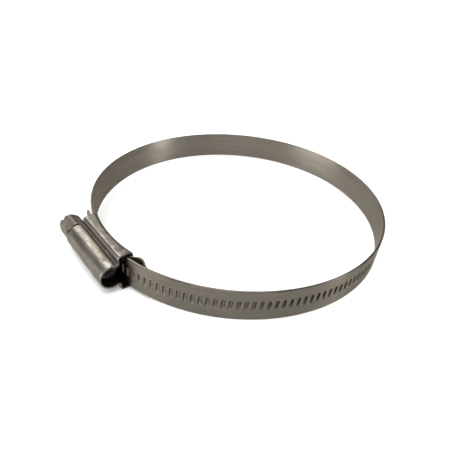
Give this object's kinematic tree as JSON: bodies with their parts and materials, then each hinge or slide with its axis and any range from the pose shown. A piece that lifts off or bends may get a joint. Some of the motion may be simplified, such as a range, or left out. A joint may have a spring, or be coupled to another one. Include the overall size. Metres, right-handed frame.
{
  "type": "worm drive hose clamp",
  "caption": "Worm-drive hose clamp: a steel band ring tightened by turning a slotted hex screw in a pressed housing.",
  "frame": {"origin": "middle of the footprint on the surface the clamp lies on; the ring axis passes 2.48 mm along +X and 0.28 mm along +Y from it, and the ring's middle plane is 7.65 mm up", "axes": "+Z along the ring axis; the housing lies at 223 degrees round the ring from +X, and its screw head faces the smaller angles"},
  "size_m": [0.1334, 0.1282, 0.0153],
  "materials": {
    "band_steel": "satin rolled strip, lightly scratched",
    "housing_steel": "pressed sheet with drawing marks",
    "screw_steel": "turned, dull and oily"
  },
  "bodies": {
    "housing": {"housing": "housing_steel", "band_root": "band_steel"},
    "screw": {"worm_screw": "screw_steel"},
    "tail": {"band_tail": "band_steel"},
    "link_01": {"band_link_01": "band_steel"},
    "link_02": {"band_link_02": "band_steel"},
    "link_03": {"band_link_03": "band_steel"},
    "link_04": {"band_link_04": "band_steel"},
    "link_05": {"band_link_05": "band_steel"},
    "link_06": {"band_link_06": "band_steel"},
    "link_07": {"band_link_07": "band_steel"},
    "link_08": {"band_link_08": "band_steel"},
    "link_09": {"band_link_09": "band_steel"},
    "link_10": {"band_link_10": "band_steel"},
    "link_11": {"band_link_11": "band_steel"},
    "link_12": {"band_link_12": "band_steel"},
    "link_13": {"band_link_13": "band_steel"},
    "link_14": {"band_link_14": "band_steel"},
    "link_15": {"band_link_15": "band_steel"},
    "link_16": {"band_link_16": "band_steel"},
    "link_17": {"band_link_17": "band_steel"},
    "link_18": {"band_link_18": "band_steel"},
    "link_19": {"band_link_19": "band_steel"},
    "link_20": {"band_link_20": "band_steel"},
    "link_21": {"band_link_21": "band_steel"},
    "link_22": {"band_link_22": "band_steel"},
    "link_23": {"band_link_23": "band_steel"},
    "link_24": {"band_link_24": "band_steel"},
    "link_25": {"band_link_25": "band_steel"},
    "link_26": {"band_link_26": "band_steel"},
    "link_27": {"band_link_27": "band_steel"},
    "link_28": {"band_link_28": "band_steel"},
    "link_29": {"band_link_29": "band_steel"},
    "link_30": {"band_link_30": "band_steel"},
    "link_31": {"band_link_31": "band_steel"},
    "link_32": {"band_link_32": "band_steel"},
    "link_33": {"band_link_33": "band_steel"},
    "link_34": {"band_link_34": "band_steel"},
    "link_35": {"band_link_35": "band_steel"},
    "link_36": {"band_link_36": "band_steel"}
  },
  "joints": [
    {"name": "screw_turn", "type": "hinge", "parent": "housing", "child": "screw", "pos_m": [-0.04758, -0.04559, 0.00765], "axis": [0.6756, -0.7373, 0], "range_deg": [-360, 12600]},
    {"name": "tail_feed", "type": "hinge", "parent": "housing", "child": "tail", "pos_m": [0.00248, 0.00028, 0.00765], "axis": [0, 0, -1], "range_deg": [-2.28, 79.94]},
    {"name": "link_01_swing", "type": "hinge", "parent": "housing", "child": "link_01", "pos_m": [0.00142, 0.00269, 0.00765], "axis": [0, 0, -1], "range_deg": [-2.2, 76.97]},
    {"name": "link_02_swing", "type": "hinge", "parent": "housing", "child": "link_02", "pos_m": [0.00001, 0.0051, 0.00765], "axis": [0, 0, -1], "range_deg": [-2.11, 74.01]},
    {"name": "link_03_swing", "type": "hinge", "parent": "housing", "child": "link_03", "pos_m": [-0.00173, 0.00746, 0.00765], "axis": [0, 0, -1], "range_deg": [-2.03, 71.09]},
    {"name": "link_04_swing", "type": "hinge", "parent": "housing", "child": "link_04", "pos_m": [-0.00379, 0.00972, 0.00765], "axis": [0, 0, -1], "range_deg": [-1.95, 68.23]},
    {"name": "link_05_swing", "type": "hinge", "parent": "housing", "child": "link_05", "pos_m": [-0.00614, 0.01182, 0.00765], "axis": [0, 0, -1], "range_deg": [-1.87, 65.47]},
    {"name": "link_06_swing", "type": "hinge", "parent": "housing", "child": "link_06", "pos_m": [-0.00874, 0.01371, 0.00765], "axis": [0, 0, -1], "range_deg": [-1.79, 62.81]},
    {"name": "link_07_swing", "type": "hinge", "parent": "housing", "child": "link_07", "pos_m": [-0.01153, 0.01537, 0.00765], "axis": [0, 0, -1], "range_deg": [-1.72, 60.27]},
    {"name": "link_08_swing", "type": "hinge", "parent": "housing", "child": "link_08", "pos_m": [-0.01447, 0.01675, 0.00765], "axis": [0, 0, -1], "range_deg": [-1.65, 57.86]},
    {"name": "link_09_swing", "type": "hinge", "parent": "housing", "child": "link_09", "pos_m": [-0.01748, 0.01785, 0.00765], "axis": [0, 0, -1], "range_deg": [-1.59, 55.6]},
    {"name": "link_10_swing", "type": "hinge", "parent": "housing", "child": "link_10", "pos_m": [-0.0205, 0.01866, 0.00765], "axis": [0, 0, -1], "range_deg": [-1.53, 53.48]},
    {"name": "link_11_swing", "type": "hinge", "parent": "housing", "child": "link_11", "pos_m": [-0.02349, 0.01918, 0.00765], "axis": [0, 0, -1], "range_deg": [-1.47, 51.51]},
    {"name": "link_12_swing", "type": "hinge", "parent": "housing", "child": "link_12", "pos_m": [-0.02638, 0.01944, 0.00765], "axis": [0, 0, -1], "range_deg": [-1.42, 49.68]},
    {"name": "link_13_swing", "type": "hinge", "parent": "housing", "child": "link_13", "pos_m": [-0.02916, 0.01945, 0.00765], "axis": [0, 0, -1], "range_deg": [-1.37, 47.98]},
    {"name": "link_14_swing", "type": "hinge", "parent": "housing", "child": "link_14", "pos_m": [-0.03178, 0.01924, 0.00765], "axis": [0, 0, -1], "range_deg": [-1.33, 46.39]},
    {"name": "link_15_swing", "type": "hinge", "parent": "housing", "child": "link_15", "pos_m": [-0.03424, 0.01884, 0.00765], "axis": [0, 0, -1], "range_deg": [-1.28, 44.91]},
    {"name": "link_16_swing", "type": "hinge", "parent": "housing", "child": "link_16", "pos_m": [-0.03655, 0.01826, 0.00765], "axis": [0, 0, -1], "range_deg": [-1.24, 43.51]},
    {"name": "link_17_swing", "type": "hinge", "parent": "housing", "child": "link_17", "pos_m": [-0.03871, 0.01754, 0.00765], "axis": [0, 0, -1], "range_deg": [-1.2, 42.17]},
    {"name": "link_18_swing", "type": "hinge", "parent": "housing", "child": "link_18", "pos_m": [-0.04074, 0.01666, 0.00765], "axis": [0, 0, -1], "range_deg": [-1.17, 40.86]},
    {"name": "link_19_swing", "type": "hinge", "parent": "housing", "child": "link_19", "pos_m": [-0.04266, 0.01565, 0.00765], "axis": [0, 0, -1], "range_deg": [-1.13, 39.56]},
    {"name": "link_20_swing", "type": "hinge", "parent": "housing", "child": "link_20", "pos_m": [-0.04449, 0.01448, 0.00765], "axis": [0, 0, -1], "range_deg": [-1.09, 38.24]},
    {"name": "link_21_swing", "type": "hinge", "parent": "housing", "child": "link_21", "pos_m": [-0.04624, 0.01315, 0.00765], "axis": [0, 0, -1], "range_deg": [-1.05, 36.89]},
    {"name": "link_22_swing", "type": "hinge", "parent": "housing", "child": "link_22", "pos_m": [-0.04792, 0.01164, 0.00765], "axis": [0, 0, -1], "range_deg": [-1.01, 35.46]},
    {"name": "link_23_swing", "type": "hinge", "parent": "housing", "child": "link_23", "pos_m": [-0.04952, 0.00994, 0.00765], "axis": [0, 0, -1], "range_deg": [-0.97, 33.95]},
    {"name": "link_24_swing", "type": "hinge", "parent": "housing", "child": "link_24", "pos_m": [-0.05104, 0.00804, 0.00765], "axis": [0, 0, -1], "range_deg": [-0.92, 32.34]},
    {"name": "link_25_swing", "type": "hinge", "parent": "housing", "child": "link_25", "pos_m": [-0.05246, 0.00591, 0.00765], "axis": [0, 0, -1], "range_deg": [-0.87, 30.6]},
    {"name": "link_26_swing", "type": "hinge", "parent": "housing", "child": "link_26", "pos_m": [-0.05375, 0.00356, 0.00765], "axis": [0, 0, -1], "range_deg": [-0.82, 28.73]},
    {"name": "link_27_swing", "type": "hinge", "parent": "housing", "child": "link_27", "pos_m": [-0.05489, 0.00098, 0.00765], "axis": [0, 0, -1], "range_deg": [-0.76, 26.72]},
    {"name": "link_28_swing", "type": "hinge", "parent": "housing", "child": "link_28", "pos_m": [-0.05584, -0.0018, 0.00765], "axis": [0, 0, -1], "range_deg": [-0.7, 24.56]},
    {"name": "link_29_swing", "type": "hinge", "parent": "housing", "child": "link_29", "pos_m": [-0.05657, -0.00478, 0.00765], "axis": [0, 0, -1], "range_deg": [-0.64, 22.26]},
    {"name": "link_30_swing", "type": "hinge", "parent": "housing", "child": "link_30", "pos_m": [-0.05706, -0.00794, 0.00765], "axis": [0, 0, -1], "range_deg": [-0.57, 19.81]},
    {"name": "link_31_swing", "type": "hinge", "parent": "housing", "child": "link_31", "pos_m": [-0.05726, -0.01123, 0.00765], "axis": [0, 0, -1], "range_deg": [-0.49, 17.24]},
    {"name": "link_32_swing", "type": "hinge", "parent": "housing", "child": "link_32", "pos_m": [-0.05717, -0.01462, 0.00765], "axis": [0, 0, -1], "range_deg": [-0.42, 14.54]},
    {"name": "link_33_swing", "type": "hinge", "parent": "housing", "child": "link_33", "pos_m": [-0.05676, -0.01807, 0.00765], "axis": [0, 0, -1], "range_deg": [-0.34, 11.75]},
    {"name": "link_34_swing", "type": "hinge", "parent": "housing", "child": "link_34", "pos_m": [-0.05602, -0.02152, 0.00765], "axis": [0, 0, -1], "range_deg": [-0.25, 8.88]},
    {"name": "link_35_swing", "type": "hinge", "parent": "housing", "child": "link_35", "pos_m": [-0.05495, -0.02494, 0.00765], "axis": [0, 0, -1], "range_deg": [-0.17, 5.94]},
    {"name": "link_36_swing", "type": "hinge", "parent": "housing", "child": "link_36", "pos_m": [-0.05356, -0.02828, 0.00765], "axis": [0, 0, -1], "range_deg": [-0.09, 2.98]}
  ],
  "couplings": [
    {"joint": "tail_feed", "follows": "screw_turn", "ratio": 0.0063414},
    {"joint": "link_01_swing", "follows": "screw_turn", "ratio": 0.0061053},
    {"joint": "link_02_swing", "follows": "screw_turn", "ratio": 0.0058706},
    {"joint": "link_03_swing", "follows": "screw_turn", "ratio": 0.0056391},
    {"joint": "link_04_swing", "follows": "screw_turn", "ratio": 0.0054127},
    {"joint": "link_05_swing", "follows": "screw_turn", "ratio": 0.0051932},
    {"joint": "link_06_swing", "follows": "screw_turn", "ratio": 0.0049822},
    {"joint": "link_07_swing", "follows": "screw_turn", "ratio": 0.0047808},
    {"joint": "link_08_swing", "follows": "screw_turn", "ratio": 0.00459},
    {"joint": "link_09_swing", "follows": "screw_turn", "ratio": 0.0044105},
    {"joint": "link_10_swing", "follows": "screw_turn", "ratio": 0.0042425},
    {"joint": "link_11_swing", "follows": "screw_turn", "ratio": 0.0040861},
    {"joint": "link_12_swing", "follows": "screw_turn", "ratio": 0.0039408},
    {"joint": "link_13_swing", "follows": "screw_turn", "ratio": 0.0038059},
    {"joint": "link_14_swing", "follows": "screw_turn", "ratio": 0.0036803},
    {"joint": "link_15_swing", "follows": "screw_turn", "ratio": 0.0035627},
    {"joint": "link_16_swing", "follows": "screw_turn", "ratio": 0.0034515},
    {"joint": "link_17_swing", "follows": "screw_turn", "ratio": 0.0033449},
    {"joint": "link_18_swing", "follows": "screw_turn", "ratio": 0.0032411},
    {"joint": "link_19_swing", "follows": "screw_turn", "ratio": 0.003138},
    {"joint": "link_20_swing", "follows": "screw_turn", "ratio": 0.0030336},
    {"joint": "link_21_swing", "follows": "screw_turn", "ratio": 0.0029259},
    {"joint": "link_22_swing", "follows": "screw_turn", "ratio": 0.0028131},
    {"joint": "link_23_swing", "follows": "screw_turn", "ratio": 0.0026934},
    {"joint": "link_24_swing", "follows": "screw_turn", "ratio": 0.0025653},
    {"joint": "link_25_swing", "follows": "screw_turn", "ratio": 0.0024275},
    {"joint": "link_26_swing", "follows": "screw_turn", "ratio": 0.0022791},
    {"joint": "link_27_swing", "follows": "screw_turn", "ratio": 0.0021194},
    {"joint": "link_28_swing", "follows": "screw_turn", "ratio": 0.0019482},
    {"joint": "link_29_swing", "follows": "screw_turn", "ratio": 0.0017654},
    {"joint": "link_30_swing", "follows": "screw_turn", "ratio": 0.0015715},
    {"joint": "link_31_swing", "follows": "screw_turn", "ratio": 0.0013673},
    {"joint": "link_32_swing", "follows": "screw_turn", "ratio": 0.0011537},
    {"joint": "link_33_swing", "follows": "screw_turn", "ratio": 0.00093208},
    {"joint": "link_34_swing", "follows": "screw_turn", "ratio": 0.00070408},
    {"joint": "link_35_swing", "follows": "screw_turn", "ratio": 0.00047144},
    {"joint": "link_36_swing", "follows": "screw_turn", "ratio": 0.00023608}
  ]
}
